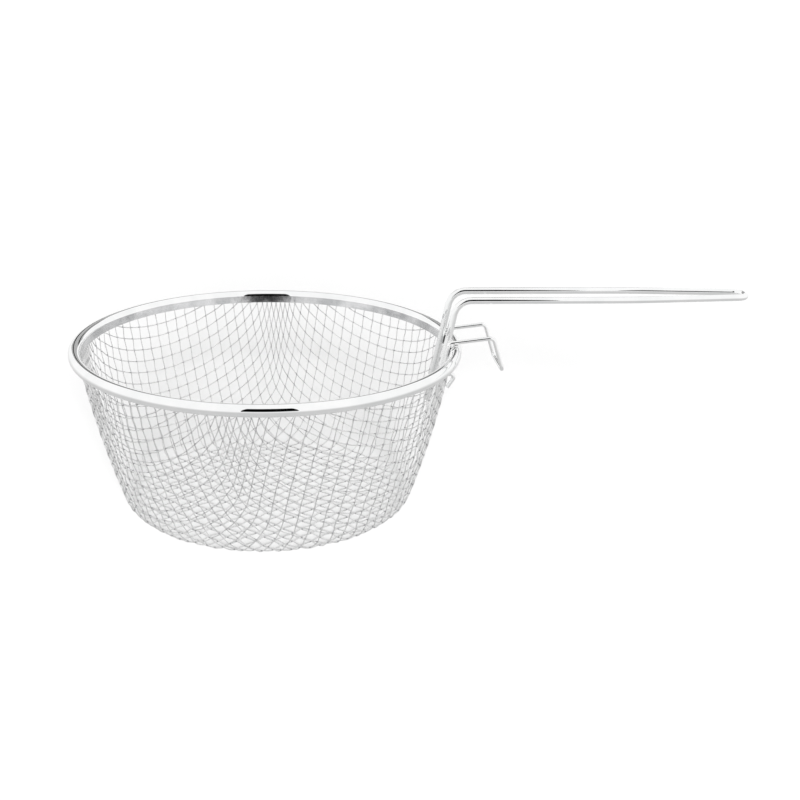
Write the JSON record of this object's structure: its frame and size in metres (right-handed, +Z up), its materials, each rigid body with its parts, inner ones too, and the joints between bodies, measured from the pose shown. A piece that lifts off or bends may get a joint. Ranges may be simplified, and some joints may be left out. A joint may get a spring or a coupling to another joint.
{
  "type": "deep fryer basket",
  "caption": "Round wire mesh frying basket with a rolled rim, a long hairpin wire handle and a wire hook that rests it on a pan's rim to drain.",
  "frame": {"origin": "middle of the basket's underside, on the basket's upright axis, in the plane it stands on", "axes": "+Z up out of the basket's mouth, +X along the handle, away from the basket"},
  "size_m": [0.3896, 0.22, 0.1224],
  "materials": {
    "mesh_wire": "bright drawn and woven stainless steel wire",
    "rim_steel": "polished rolled stainless steel strip",
    "handle_wire": "polished stainless steel wire",
    "hook_wire": "polished stainless steel wire"
  },
  "bodies": {
    "root": {"mesh_basket": "mesh_wire", "rim_band": "rim_steel", "handle": "handle_wire", "pan_hook": "hook_wire"}
  },
  "joints": []
}
